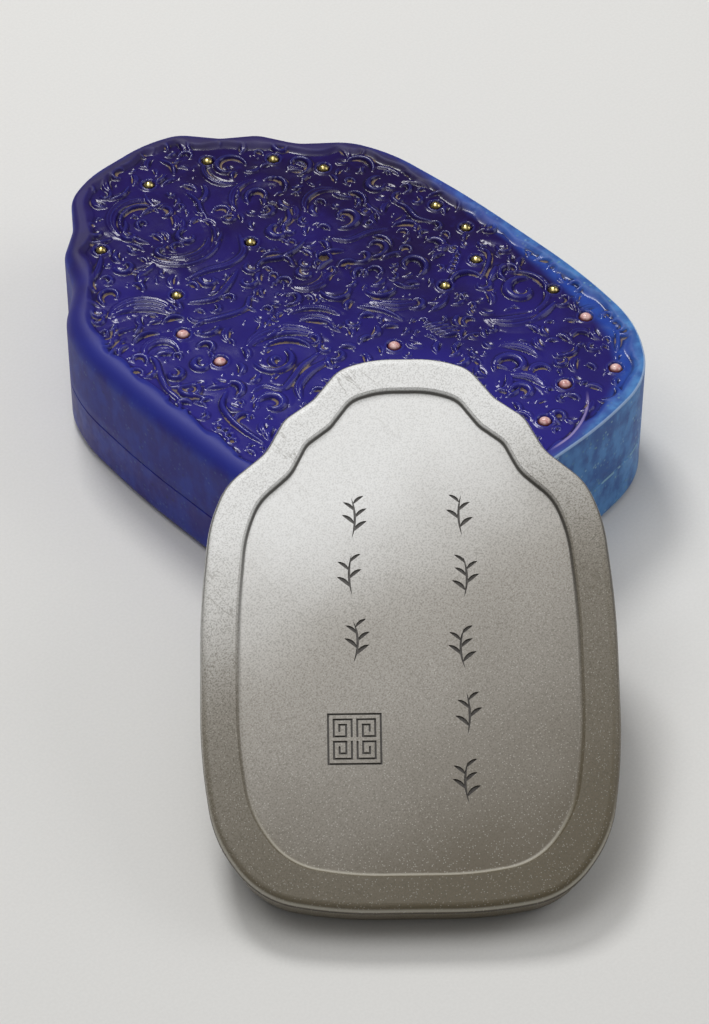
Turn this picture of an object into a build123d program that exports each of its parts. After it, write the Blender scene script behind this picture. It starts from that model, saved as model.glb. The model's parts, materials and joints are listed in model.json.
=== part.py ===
"""An ink stone of pale green-grey slate leaning on its carved, fitted stone case.

The case stands on its flat underside. Its foot end is at -Y, its lobed head at +Y and up is +Z.
The origin is the middle of the underside. The ink stone stands with its foot on the table and
leans, grinding face down, on the near edge of the closed lid.
"""
import os
from math import asin, atan2, cos, degrees, hypot, radians, sin, tan

from build123d import *

# Ink stone
stone_length = 145.6
stone_width = 102.4
stone_thickness = 14.0
stone_draft_angle = 10.0
stone_back_edge_radius = 2.2
stone_front_edge_radius = 3.0
back_rim_width = 9.0
back_recess_depth = 1.4
back_step_slope_angle = 38.0
back_floor_radius = 0.9
front_rim_width = 6.5
grinding_depth = 1.5
well_rim_width = 9.5
well_depth = 3.8
well_length = 26.0
well_curve_radius = 62.0

# Incised ornament on the back of the stone
incision_depth = 0.45
sprig_height = 11.0
sprig_column_offset = 13.6
stem_swell = 0.6
leaf_length = 4.6
leaf_swell = 1.1
leaf_angle = 50.0
leaf_bow_share = 0.1
leaf_shrink_share = 0.3
fret_side = 13.2
fret_line = 0.5
fret_pitch = 1.35
fret_center_from_foot = 44.2

# Fitted case
stone_clearance = 1.0
case_end_wall = 9.0
case_side_wall = 7.5
base_height = 15.0
base_floor = 8.5
base_foot_radius = 3.0
lid_height = 22.8
lid_shoulder_radius = 2.5
parting_bevel = 0.3
lip_height = 2.5
lip_thickness = 3.5
lip_clearance = 0.3

# Carved panel of the lid
border_width = 5.5
ground_depth = 2.0
scroll_height = 1.7
scroll_swell = 4.2
scroll_knob_radius = 1.7

# Inlaid beads
gold_bead_diameter = 3.0
pink_bead_diameter = 3.4
bead_clearance = 0.1
bead_below_border = 0.1
bead_dome_height = 1.1
bead_length = 2.6
collar_thickness = 0.9
collar_below_border = 0.6

# How the stone leans on the lid
stone_turn_angle = 42.7
stone_side_shift = 19.9
stone_foot_distance = 93.7
lean_clearance = 0.3
table_clearance = 0.1
lean_rounds = 8
height_tolerance = 0.1

# Corners of half the lobed outline: place as shares of the half width and of the length from the
# foot, and how far the corner's arc reaches along the shorter run beside it
outline_corner_shares = [
    (0.352, 0.000, 0.485),
    (0.720, 0.024, 0.480),
    (0.935, 0.128, 0.430),
    (0.999, 0.274, 0.530),
    (1.001, 0.532, 0.460),
    (0.960, 0.693, 0.530),
    (0.877, 0.766, 0.366),
    (0.686, 0.824, 0.250),
    (0.595, 0.886, 0.210),
    (0.452, 0.923, 0.150),
    (0.327, 0.980, 0.320),
    (0.165, 1.000, 0.600),
]

# Sprigs in the two columns: side, share of the length from the foot, how far the stem bows as a
# share of its height, number of leaves, and the side of the lowest leaf
sprig_shares = [
    (1, 0.703, 0.07, 4, 1),
    (1, 0.590, -0.08, 5, -1),
    (1, 0.462, 0.10, 5, 1),
    (1, 0.346, -0.06, 4, -1),
    (1, 0.226, 0.08, 5, 1),
    (-1, 0.700, -0.08, 5, 1),
    (-1, 0.596, 0.07, 4, -1),
    (-1, 0.476, -0.10, 5, 1),
]

# Main scrolls of the lid: place as shares of the half width and half length of the case,
# radius as a share of the case's width, start angle and sweep in degrees
scroll_shares = [
    (-0.15, 0.72, 0.078, 200, -200),
    (-0.13, 0.53, 0.090, 180, 200),
    (0.34, 0.73, 0.056, 30, 250),
    (0.31, 0.52, 0.066, 200, -190),
    (0.53, 0.33, 0.074, 190, -200),
    (0.05, 0.24, 0.058, 160, 190),
    (-0.63, 0.40, 0.078, 150, -140),
    (-0.70, 0.18, 0.052, 200, -200),
    (-0.30, 0.22, 0.054, 330, -200),
    (-0.78, 0.00, 0.050, 120, 220),
    (-0.33, -0.08, 0.100, 130, -150),
    (0.28, 0.00, 0.064, 60, 230),
    (0.60, 0.10, 0.060, 20, 220),
    (0.86, 0.02, 0.036, 90, 200),
    (-0.66, -0.22, 0.062, 210, -210),
    (0.24, -0.18, 0.084, 100, -170),
    (0.62, -0.36, 0.100, 170, 210),
    (0.36, -0.58, 0.070, 160, -200),
    (0.70, -0.68, 0.048, 210, -210),
    (-0.16, -0.34, 0.070, 20, 220),
    (-0.56, -0.50, 0.082, 190, -210),
    (-0.04, -0.62, 0.060, 160, 210),
    (-0.34, -0.76, 0.062, 40, 220),
    (0.10, -0.82, 0.044, 200, -190),
]

# Beads: the same kind of place as for the scrolls
gold_bead_shares = [
    (0.308, 0.796),
    (0.539, 0.652),
    (0.663, 0.503),
    (0.000, 0.839),
    (0.069, 0.394),
    (-0.455, 0.701),
    (-0.412, 0.367),
    (0.854, 0.109),
    (0.845, -0.038),
    (0.725, -0.173),
    (0.500, -0.194),
    (0.830, -0.448),
    (-0.740, -0.420),
    (-0.420, -0.680),
]
pink_bead_shares = [
    (0.805, -0.610),
    (0.661, -0.841),
    (0.427, -0.782),
    (0.197, -0.856),
    (0.060, -0.286),
    (-0.562, 0.216),
    (-0.562, 0.040),
    (-0.300, -0.470),
    (-0.100, -0.780),
]

# Sizes that follow from the ones above
cavity_length = stone_length + 2 * stone_clearance
cavity_width = stone_width + 2 * stone_clearance
case_length = cavity_length + 2 * case_end_wall
case_width = cavity_width + 2 * case_side_wall
case_height = base_height + lid_height
lid_hollow_depth = stone_thickness + stone_clearance - (base_height - base_floor)
lip_length = cavity_length + 2 * lip_thickness
lip_width = cavity_width + 2 * lip_thickness
half_length = case_length / 2
half_width = case_width / 2
ground_level = case_height - ground_depth
draft_reach = stone_thickness * tan(radians(stone_draft_angle))


def corner_radii(corners, reach_shares):
    """The radius of each corner whose arc reaches that far along the shorter run beside it."""
    radii = []
    before = corners[-1:] + corners[:-1]
    after = corners[1:] + corners[:1]
    for last, corner, following, share in zip(before, corners, after, reach_shares):
        way_back = Vector(*last) - Vector(*corner)
        way_on = Vector(*following) - Vector(*corner)
        half_turn = radians(180 - way_back.get_angle(way_on)) / 2
        radii.append(share * min(way_back.length, way_on.length) / tan(half_turn))
    return radii


def lobed_face(length, width, foot):
    """The lobed outline as a face, with its foot end at y = foot."""
    right = [(x * width / 2, foot + y * length) for x, y, _ in outline_corner_shares]
    corners = right + [(-x, y) for x, y in reversed(right)]
    shares = [share for _, _, share in outline_corner_shares]
    with BuildLine() as edge:
        FilletPolyline(*corners, radius=corner_radii(corners, shares + shares[::-1]), close=True)
    make_face(edge.edges())


def case_face(length, width):
    """The lobed outline centred on the case."""
    lobed_face(length, width, -length / 2)


def crescent(start, end, bow, swell):
    """A stroke that swells in its middle, bowed to the left of the way from start to end."""
    run = Vector(*end) - Vector(*start)
    left = Vector(-run.Y, run.X).normalized()
    middle = (Vector(*start) + Vector(*end)) * 0.5
    with BuildLine() as edge:
        ThreePointArc(start, middle + left * (bow + swell / 2), end)
        ThreePointArc(end, middle + left * (bow - swell / 2), start)
    make_face(edge.edges())


def on_circle(center, radius, angle):
    """The point of a circle at an angle in degrees."""
    return center + Vector(cos(radians(angle)), sin(radians(angle))) * radius


def scroll(center, radius, start, sweep):
    """A cloud scroll: a crescent that thickens at its middle, with a round knob at its end."""
    outer_center = on_circle(center, scroll_swell / 2, start + sweep / 2)
    first = on_circle(center, radius, start)
    last = on_circle(center, radius, start + sweep)
    with BuildLine() as edge:
        ThreePointArc(first, on_circle(outer_center, radius, start + sweep / 2), last)
        ThreePointArc(last, on_circle(center, radius - scroll_swell / 2, start + sweep / 2), first)
    make_face(edge.edges())
    with Locations(last):
        Circle(scroll_knob_radius)


def bead_places(shares):
    """Places on the lid as points of the case's plan."""
    return [(x * half_width, y * half_length) for x, y in shares]


gold_places = bead_places(gold_bead_shares)
pink_places = bead_places(pink_bead_shares)

# Lower half of the case: a tray that holds the stone, with a lip that the lid fits over
with BuildPart() as case_base:
    with BuildSketch(Plane.XY):
        case_face(case_length, case_width)
    extrude(amount=base_height)
    fillet(case_base.faces().sort_by(Axis.Z)[0].edges(), radius=base_foot_radius)
    chamfer(case_base.faces().sort_by(Axis.Z)[-1].edges(), length=parting_bevel)
    with BuildSketch(Plane.XY.offset(base_height)):
        case_face(lip_length, lip_width)
    extrude(amount=lip_height)
    with BuildSketch(Plane.XY.offset(base_floor)):
        case_face(cavity_length, cavity_width)
    extrude(amount=case_height, mode=Mode.SUBTRACT)

# Upper half of the case: hollow below, with a carved panel inside a plain border on top
with BuildPart() as case_lid:
    with BuildSketch(Plane.XY.offset(base_height)):
        case_face(case_length, case_width)
    extrude(amount=lid_height)
    fillet(case_lid.faces().sort_by(Axis.Z)[-1].edges(), radius=lid_shoulder_radius)
    chamfer(case_lid.faces().sort_by(Axis.Z)[0].edges(), length=parting_bevel)
    with BuildSketch(Plane.XY.offset(base_height)):
        case_face(cavity_length, cavity_width)
    extrude(amount=lid_hollow_depth, mode=Mode.SUBTRACT)
    with BuildSketch(Plane.XY.offset(base_height)):
        case_face(lip_length + 2 * lip_clearance, lip_width + 2 * lip_clearance)
    extrude(amount=lip_height + lip_clearance, mode=Mode.SUBTRACT)
    with BuildSketch(Plane.XY.offset(ground_level)):
        case_face(case_length - 2 * border_width, case_width - 2 * border_width)
    extrude(amount=ground_depth, mode=Mode.SUBTRACT)
    with BuildSketch(Plane.XY.offset(ground_level)):
        for x_share, y_share, radius_share, start_angle, sweep_angle in scroll_shares:
            scroll_center = Vector(x_share * half_width, y_share * half_length)
            scroll(scroll_center, radius_share * case_width, start_angle, sweep_angle)
    extrude(amount=scroll_height)
    for places, diameter in ((gold_places, gold_bead_diameter), (pink_places, pink_bead_diameter)):
        socket_radius = diameter / 2 + bead_clearance
        with BuildSketch(Plane.XY.offset(ground_level)):
            with Locations(*places):
                Circle(socket_radius + collar_thickness)
        extrude(amount=ground_depth - collar_below_border)
        with BuildSketch(Plane.XY.offset(case_height - bead_below_border - bead_length)):
            with Locations(*places):
                Circle(socket_radius)
        extrude(amount=bead_length, mode=Mode.SUBTRACT)


def bead(place, diameter):
    """A short round pin with a domed top, standing on the floor of its socket."""
    top = case_height - bead_below_border
    dome_radius = (diameter**2 / 4 + bead_dome_height**2) / (2 * bead_dome_height)
    dome_angle = degrees(asin(diameter / 2 / dome_radius)) / 2
    foot = top - bead_length
    shoulder = top - bead_dome_height
    crown = (dome_radius * sin(radians(dome_angle)), top - dome_radius * (1 - cos(radians(dome_angle))))
    with BuildPart() as one_bead:
        with BuildSketch(Plane(origin=(*place, 0), x_dir=(1, 0, 0), z_dir=(0, -1, 0))):
            with BuildLine():
                Polyline((0, top), (0, foot), (diameter / 2, foot), (diameter / 2, shoulder))
                ThreePointArc((diameter / 2, shoulder), crown, (0, top))
            make_face()
        revolve(axis=Axis((*place, 0), (0, 0, 1)))
    return one_bead


# The stone stands on the round edge of its foot and leans until its grinding face meets the
# rounded near edge of the lid. How low the edge hangs depends on the lean, so they are worked
# out in rounds.
turn = radians(stone_turn_angle)
head_way = Vector(sin(turn), cos(turn))
right_way = Vector(cos(turn), -sin(turn))
with BuildSketch() as case_plan:
    case_face(case_length, case_width)
edge_reach = case_plan.sketch.rotate(Axis.Z, stone_turn_angle).bounding_box().min.Y
foot_reach = edge_reach - stone_foot_distance
arm = stone_foot_distance + lid_shoulder_radius
lift_over_edge = lid_shoulder_radius + lean_clearance - grinding_depth
edge_half_angle = radians(90 + stone_draft_angle) / 2
lean = 0
for _ in range(lean_rounds):
    edge_share = sin(lean) / tan(edge_half_angle) + cos(lean) - 1
    foot_drop = draft_reach * sin(lean) + stone_front_edge_radius * edge_share - table_clearance
    rise = case_height - lid_shoulder_radius + foot_drop
    lean = asin(lift_over_edge / hypot(arm, rise)) + atan2(rise, arm)
foot_point = right_way * stone_side_shift + head_way * foot_reach - Vector(0, 0, foot_drop)
stone_out = Vector(-head_way.X * sin(lean), -head_way.Y * sin(lean), cos(lean))
front_plane = Plane(origin=foot_point, x_dir=right_way, z_dir=stone_out)
back_plane = front_plane.offset(stone_thickness)
recess_floor_plane = back_plane.offset(-back_recess_depth)
through_stone = Axis(foot_point, stone_out)


def stone_face(rim):
    """The stone's outline, drawn in by a rim."""
    lobed_face(stone_length - 2 * rim, stone_width - 2 * rim, rim)


def sprig(center, bow_share, leaves, first_side):
    """A bowed stem with pointed leaves on alternating sides, smaller towards its tip."""
    foot = center - Vector(0, sprig_height / 2)
    stem = Vector(0, sprig_height)
    crescent(foot, foot + stem, bow_share * sprig_height, stem_swell)
    for number in range(leaves):
        share = (number + 1) / (leaves + 1)
        side = first_side * (-1) ** number
        bow = Vector(-bow_share * sprig_height, 0) * (4 * share * (1 - share))
        joint = foot + stem * share + bow
        size_share = 1 - leaf_shrink_share * share
        way = Vector(side * sin(radians(leaf_angle)), cos(radians(leaf_angle)))
        length = leaf_length * size_share
        crescent(joint, joint + way * length, side * leaf_bow_share * length, leaf_swell * size_share)


def spiral_corners(side, pitch):
    """The corners of a line that winds squarely in from a corner of its square."""
    way = Vector(0, side)
    corner = Vector(-side / 2, -side / 2)
    corners = [corner, corner + way]
    run = side
    while run > pitch:
        for _ in range(2):
            way = Vector(way.Y, -way.X).normalized() * run
            corners.append(corners[-1] + way)
        run -= pitch
    return corners


def key_fret(center):
    """A square frame that holds four square spirals, drawn with one width of line."""
    inner_side = fret_side - 2 * fret_line
    gap = fret_pitch - fret_line
    spiral_side = (inner_side - 3 * gap) / 2 - fret_line
    reach = (spiral_side + fret_pitch) / 2
    with Locations(center):
        Rectangle(fret_side, fret_side)
        Rectangle(inner_side, inner_side, mode=Mode.SUBTRACT)
    for x_way, y_way in ((1, 1), (1, -1), (-1, 1), (-1, -1)):
        spiral = spiral_corners(spiral_side, fret_pitch)
        corners = [(x_way * (corner.X + reach), y_way * (corner.Y + reach)) for corner in spiral]
        with BuildLine(Plane((center.X, center.Y))) as line:
            Polyline(*corners)
            offset(amount=fret_line / 2, kind=Kind.INTERSECTION)
        make_face(line.edges())


def edges_at_height(stone, height):
    """The edges that lie at one height above the stone's front plane."""
    level = Axis(front_plane.offset(height).origin, stone_out)
    return stone.edges().filter_by_position(level, -height_tolerance, height_tolerance)


with BuildPart() as ink_stone:
    with BuildSketch(back_plane):
        stone_face(0)
    extrude(amount=-stone_thickness, taper=stone_draft_angle)
    fillet(ink_stone.edges().group_by(through_stone)[-1], radius=stone_back_edge_radius)
    fillet(ink_stone.edges().group_by(through_stone)[0], radius=stone_front_edge_radius)
    with BuildSketch(back_plane):
        stone_face(back_rim_width)
    extrude(amount=-back_recess_depth, taper=back_step_slope_angle, mode=Mode.SUBTRACT)
    recess_floor_height = stone_thickness - back_recess_depth
    fillet(edges_at_height(ink_stone, recess_floor_height), radius=back_floor_radius)
    with BuildSketch(front_plane):
        stone_face(draft_reach + front_rim_width)
    extrude(amount=grinding_depth, mode=Mode.SUBTRACT)
    well_inset = draft_reach + well_rim_width
    with BuildSketch(front_plane):
        stone_face(well_inset)
        with Locations((0, stone_length - well_inset - well_length + well_curve_radius)):
            Circle(well_curve_radius, mode=Mode.INTERSECT)
    extrude(amount=well_depth, mode=Mode.SUBTRACT)
    with BuildSketch(recess_floor_plane):
        for side, share, bow_share, leaves, first_side in sprig_shares:
            sprig(Vector(side * sprig_column_offset, share * stone_length), bow_share, leaves, first_side)
        key_fret(Vector(-sprig_column_offset, fret_center_from_foot))
    extrude(amount=-incision_depth, mode=Mode.SUBTRACT)

pieces = {"case_base": case_base, "case_lid": case_lid, "ink_stone": ink_stone}
for number, place in enumerate(gold_places, 1):
    pieces[f"gold_bead_{number:02d}"] = bead(place, gold_bead_diameter)
for number, place in enumerate(pink_places, 1):
    pieces[f"pink_bead_{number:02d}"] = bead(place, pink_bead_diameter)

os.makedirs("parts", exist_ok=True)
for name, piece in pieces.items():
    piece.part.label = name
    export_step(piece.part, f"parts/{name}.step")
print("lean in degrees", round(degrees(lean), 3))
print("foot point", foot_point, "face normal", stone_out)
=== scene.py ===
"""The looks of a pale ink stone that leans on its carved blue stone case, inlaid with small beads.

The case stands upright round the origin, with the foot of its outline towards -y. Lengths are
millimetres, except where a name ends in _m or a Blender object is given metres. A level on the lid
counts from its top, so what is carved is below zero.
"""
import json
import math
import random

import bpy
import numpy as np
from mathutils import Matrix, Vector


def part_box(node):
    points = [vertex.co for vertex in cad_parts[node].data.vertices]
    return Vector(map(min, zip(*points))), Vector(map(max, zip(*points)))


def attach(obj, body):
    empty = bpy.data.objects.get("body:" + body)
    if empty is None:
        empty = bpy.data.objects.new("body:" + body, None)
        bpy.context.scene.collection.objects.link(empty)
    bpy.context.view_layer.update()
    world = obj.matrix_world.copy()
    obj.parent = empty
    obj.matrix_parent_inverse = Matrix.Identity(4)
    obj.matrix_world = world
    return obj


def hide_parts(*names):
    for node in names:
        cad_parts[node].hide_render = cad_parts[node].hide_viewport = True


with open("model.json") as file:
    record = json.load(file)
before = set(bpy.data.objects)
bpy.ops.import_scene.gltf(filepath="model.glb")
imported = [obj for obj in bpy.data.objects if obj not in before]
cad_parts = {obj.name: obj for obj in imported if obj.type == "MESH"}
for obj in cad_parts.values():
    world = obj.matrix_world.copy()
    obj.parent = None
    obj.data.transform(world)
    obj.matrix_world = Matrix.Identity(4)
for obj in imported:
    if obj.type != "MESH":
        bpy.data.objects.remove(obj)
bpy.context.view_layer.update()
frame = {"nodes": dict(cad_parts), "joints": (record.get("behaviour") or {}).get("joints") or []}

mm = 0.001


def box_mm(node):
    """The lowest and highest corner of a node, in millimetres."""
    low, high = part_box(node)
    return np.array(low) / mm, np.array(high) / mm


lid_low, lid_high = box_mm("case_lid")
case_length = lid_high[1] - lid_low[1]
case_width = lid_high[0] - lid_low[0]
parting_level = lid_low[2]
lid_top = lid_high[2]
wall_height = lid_top - parting_level

# Walls of the lid, as in the CAD model
end_wall = 9.0
side_wall = 7.5
hollow_depth = 8.5
parting_bevel = 0.3
rabbet_depth = 2.8
rabbet_reach = 3.8
wall_ring_shares = (0.12, 0.35, 0.6, 0.82)
ceiling_ring_shares = (0.66, 0.33)

# Rounded shoulder round the top: crisp on the right and at the foot, wide along the left, where it
# grows over a span of x, and less wide towards the head, where it shrinks over a span of y
crisp_shoulder = 0.8
soft_shoulder = 5.2
head_shoulder = 3.2
left_span = (-8, -34)
head_span = (48, 66)
shoulder_rings = 8

# Carved panel
panel_inset = 1.6
border_width = 2.3
left_border_extra = 2.4
border_unevenness = 1.0
border_slope = 2.2
edge_zone = 15.0
panel_depth = 1.1
carving_step = 0.3

# Slow waves in the border's width and in the ground: radians per millimetre of the waves and of
# their bends, how strong the bends are, and what differs between the waves along and across
border_waves = (0.35, 0.21, 1.7)
slow_waves = (0.21, 0.13, 1.3)
quick_waves = (0.47, 0.31, 0.8)
slow_swell = 0.12
quick_swell = 0.06
cross_pitch, cross_bend, cross_bend_pitch = 0.8, 0.6, 1.4

# Points of a path: degrees from one to the next on an arc, and how many in each run of a line
arc_step_angle = 12
least_arc_points = 8
points_per_knot = 8

# Strokes: the groove beside them, the shares of width and height left at their ends, how soon
# the width tapers, what their flutes leave of the height, how deep the groove is on both sides
# alike or on its deep and its shallow side, how far a stroke may cut into the ground, and how
# far beside it no small stroke may lie
cut_depth = 0.28
cut_width = 0.34
end_width_share = 0.28
end_height_share = 0.66
end_taper = 0.7
flute_floor = 0.3
even_cut, deep_cut, shallow_cut = 0.8, 1.9, 0.45
ground_cut = 0.2
busy_widening = 1.25
stroke_softness = 0.6
fold_softness = 1.5
fold_widening, stem_widening = 1.25, 1.15
fold_level, scroll_level, stem_level, fan_level = -0.8, -0.05, -0.1, -0.15

# Softening of the finished relief, and the reach over which a hollow counts as one
softening_reach, softening_share = 0.25, 0.6
hollow_reach = 0.7

# Corners of half the lobed outline: place as shares of the half width and of the length from the
# foot, and how far the corner's arc reaches along the shorter run beside it
outline_corner_shares = [
    (0.352, 0.000, 0.485),
    (0.720, 0.024, 0.480),
    (0.935, 0.128, 0.430),
    (0.999, 0.274, 0.530),
    (1.001, 0.532, 0.460),
    (0.960, 0.693, 0.530),
    (0.877, 0.766, 0.366),
    (0.686, 0.824, 0.250),
    (0.595, 0.886, 0.210),
    (0.452, 0.923, 0.150),
    (0.327, 0.980, 0.320),
    (0.165, 1.000, 0.600),
]
points_per_arc = 22
points_per_run = 12

# Broad folds of the carving, laid down first: x, y, start and end radius, start angle, sweep,
# half width, ridges across
fold_arcs = [
    (-11, 59, 9, 9, 185, -195, 3.4, 1),
    (-9, 47, 10, 11, 185, 190, 3.2, 1),
    (-39, 26, 9, 10, 110, -130, 4.0, 1),
    (-42, 16, 4.5, 5, 150, -190, 2.6, 1),
    (-19, -9, 11, 12, 105, -110, 3.8, 1),
    (-7, -5, 9, 10, 85, -85, 3.2, 1),
    (30, 29, 6, 6.5, 160, -160, 3.0, 1),
    (18, 44, 8, 8, 165, -150, 3.0, 1),
    (22, -5, 12, 12, 190, 80, 3.8, 1),
    (40, -29, 12, 12, 200, 110, 3.8, 1),
    (20.5, -51, 7, 8, 150, -160, 3.2, 1),
    (15, -59, 6, 6, 110, -160, 2.6, 1),
    (-34, -18, 4, 4, 150, -200, 2.4, 1),
    (-30, -45, 10, 10, 190, -190, 3.8, 1),
    (-8, -55, 8, 8, 20, 200, 3.2, 1),
    (-30, -68, 6, 6, 160, -170, 2.8, 1),
    (44, -58, 6, 6, 150, -150, 2.6, 1),
    (8, 8, 6, 6, 200, 160, 2.6, 1),
    (-24, 40, 6, 7, 60, -120, 2.6, 1),
    (45, 35, 7, 7, 120, -120, 2.8, 1),
    (52, 8, 5, 5, 80, -140, 2.4, 1),
    (47, -16, 7, 7, 60, -110, 2.8, 1),
]

# Waves and cloud scrolls, in the same terms
scroll_arcs = [
    (-11, 59.5, 8.8, 8.6, 195, -190, 1.7, 3),
    (-11, 59.5, 6.2, 5.6, 150, -150, 0.7, 1),
    (-12, 58, 2, 0.8, 200, -230, 0.7, 1),
    (-4.8, 57.6, 2.6, 1, 70, -230, 0.8, 1),
    (-17.6, 57, 2.2, 0.8, 120, 230, 0.8, 1),
    (-9, 47.5, 10.8, 10.8, 178, 182, 1.5, 2),
    (-9, 46.5, 8, 7.8, 195, 125, 1.5, 2),
    (-6.6, 46, 3.4, 1.3, 60, 280, 0.8, 1),
    (-15.5, 46, 2.4, 0.9, 250, -240, 0.8, 1),
    (21, 60, 5, 1.9, 330, 300, 0.9, 1),
    (21, 60, 7.4, 7, 250, -130, 1, 2),
    (18.5, 43.5, 8.6, 8.4, 170, -110, 1.1, 2),
    (18.5, 45, 3.8, 1.4, 180, -280, 0.9, 1),
    (24.2, 46, 4.2, 3, 280, 170, 0.8, 1),
    (30, 29.4, 6.8, 6.4, 158, -140, 1.3, 2),
    (29.5, 22.5, 4.4, 1.7, 210, 290, 1.2, 1),
    (35.5, 26, 4, 3.6, 60, -120, 0.7, 1),
    (-39.5, 26.5, 10.4, 9.6, 105, -112, 3.1, 4),
    (-45.5, 41.5, 4.2, 3.2, 150, -150, 0.9, 2),
    (-37.5, 42, 3.6, 1.4, 200, -270, 0.8, 1),
    (-27, 48.6, 3, 1.1, 150, 270, 0.9, 1),
    (-23, 47.5, 4.2, 4.2, 200, 100, 1, 2),
    (-42, 16.4, 4.8, 4.4, 155, -195, 1.5, 3),
    (-42, 19.6, 5.6, 5.2, 125, -90, 0.7, 1),
    (-45.4, 8, 2.6, 1, 30, -280, 0.8, 1),
    (-45.8, 0.8, 3.4, 1.3, 110, 300, 0.9, 1),
    (-32.5, 21.5, 3.8, 3.4, 120, -110, 0.8, 1),
    (-27, 16.2, 3.6, 3.4, 205, 110, 0.8, 1),
    (-32.5, 9.4, 2.6, 1, 130, -230, 0.9, 1),
    (-37.6, 5.6, 2.8, 1.1, 60, 270, 1, 1),
    (-20, -9, 12.6, 12, 112, -104, 2.3, 3),
    (-20, -9, 8.6, 7.6, 96, -92, 0.8, 1),
    (-22.5, -5.4, 5.4, 4.6, 160, 200, 1, 1),
    (-22.4, -6.8, 2, 0.8, 220, -230, 0.9, 1),
    (-10.6, -7.8, 2.2, 0.8, 80, -230, 0.8, 1),
    (-8, -5.6, 10.2, 9.6, 88, -84, 1, 2),
    (-8.6, -6.4, 7, 6.6, 80, -80, 1.6, 2),
    (6, 13, 6, 5.4, 195, 135, 1.7, 3),
    (8, 3, 4.4, 3.6, 150, 165, 0.9, 1),
    (17, 2.6, 2.4, 0.9, 180, -270, 0.9, 1),
    (16, 6.4, 3.4, 3.2, 110, -100, 0.8, 1),
    (12.5, 30.4, 3.2, 1.2, 60, 250, 1.2, 1),
    (27, 8, 4.6, 4.4, 50, -90, 1, 1),
    (27, 8, 4.2, 1.6, 190, 290, 0.9, 1),
    (37, 6, 5, 4.8, 95, -100, 0.8, 1),
    (39, -3, 3.4, 1.3, 100, -270, 1.2, 1),
    (29, -4, 4.6, 1.7, 250, 290, 1, 1),
    (23.5, -4, 12.6, 12.2, 193, 62, 2.2, 3),
    (17.5, -4, 4.6, 4.2, 170, 130, 0.8, 1),
    (19.4, -15.6, 2.6, 1, 190, 270, 0.9, 1),
    (40.5, -28.6, 12.6, 12.2, 205, 62, 2.3, 3),
    (42, -31, 8.6, 8, 250, 175, 0.9, 2),
    (43.4, -31.4, 5, 1.9, 30, 300, 1.4, 1),
    (46.6, -24, 3.6, 1.4, 200, -270, 1, 1),
    (35, -19.5, 4.6, 4.4, 150, -160, 0.8, 1),
    (48.6, -41.6, 2.6, 1, 190, 250, 0.8, 1),
    (54.4, -40.6, 2.4, 0.9, 90, -240, 0.8, 1),
    (20.5, -50.4, 8.2, 8, 70, -84, 1.7, 3),
    (20.5, -50.4, 4.8, 1.8, 155, -290, 1.3, 1),
    (15, -59, 6.8, 6.6, 75, -104, 1.5, 3),
    (15.2, -59.4, 3.6, 1.4, 150, -280, 1.2, 1),
    (24.4, -57.4, 3, 2.6, 150, -170, 1, 2),
    (15.6, -72.4, 2.6, 1, 200, -280, 1, 1),
    (41.4, -55.6, 3.2, 2.8, 165, -200, 1, 2),
    (35.6, -55.4, 2.8, 2.6, 180, 150, 0.7, 1),
    (31, -74.4, 3.4, 3.2, 190, 160, 0.8, 1),
    (51.6, -61.4, 2.4, 0.9, 150, 250, 0.9, 1),
    (52.4, 8, 5.2, 4.6, 95, -170, 0.9, 1),
    (55.2, -7.6, 2.2, 0.8, 120, 250, 0.8, 1),
    (57.2, 1.4, 1.8, 0.7, 100, -240, 0.7, 1),
    (45.6, 26, 3.6, 1.4, 40, 280, 1, 1),
    (46.6, 35.4, 4.4, 4, 300, 150, 0.9, 1),
    (35.4, 47.6, 4.2, 1.6, 230, 290, 0.9, 1),
    (37.6, 56, 3, 1.1, 80, 240, 0.8, 1),
    (50.8, 39.6, 2.8, 1.1, 120, -250, 0.8, 1),
    (12.8, 78, 2.6, 1, 160, -240, 0.8, 1),
    (-3.4, 78, 2.6, 1, 20, 240, 0.8, 1),
    (-13.6, 78.4, 2.2, 0.8, 160, -240, 0.7, 1),
    (5.4, 60, 5.6, 5.4, 250, 100, 0.8, 2),
    (3.6, 72.6, 4, 3.8, 190, 120, 0.8, 1),
    (20.6, 73, 2.8, 1.1, 210, -270, 0.9, 1),
    (-34.4, -18, 4, 1.5, 130, -300, 1.3, 1),
    (-38.6, -6.6, 3, 2.6, 250, 200, 1, 1),
    (-44, -18, 3, 2.8, 175, -175, 0.8, 1),
    (-30, -45, 10.6, 10.2, 195, -190, 2.3, 3),
    (-29, -45, 5.6, 2.1, 160, -300, 1.3, 1),
    (-44, -36, 4.6, 1.7, 330, 290, 1, 1),
    (-14, -36, 6, 2.3, 190, -290, 1.3, 1),
    (-48, -55, 4.4, 1.7, 60, -290, 1, 1),
    (-8, -55, 8.4, 8, 25, 180, 2, 3),
    (-8, -55, 4, 1.5, 200, 290, 1.2, 1),
    (-31, -67, 6.4, 6, 165, -165, 1.5, 3),
    (-31, -68, 3.4, 1.3, 160, -280, 0.9, 1),
    (-14, -73, 3.4, 1.3, 20, 280, 0.9, 1),
    (2, -71.5, 3.6, 1.4, 330, 270, 0.9, 1),
]

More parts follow.
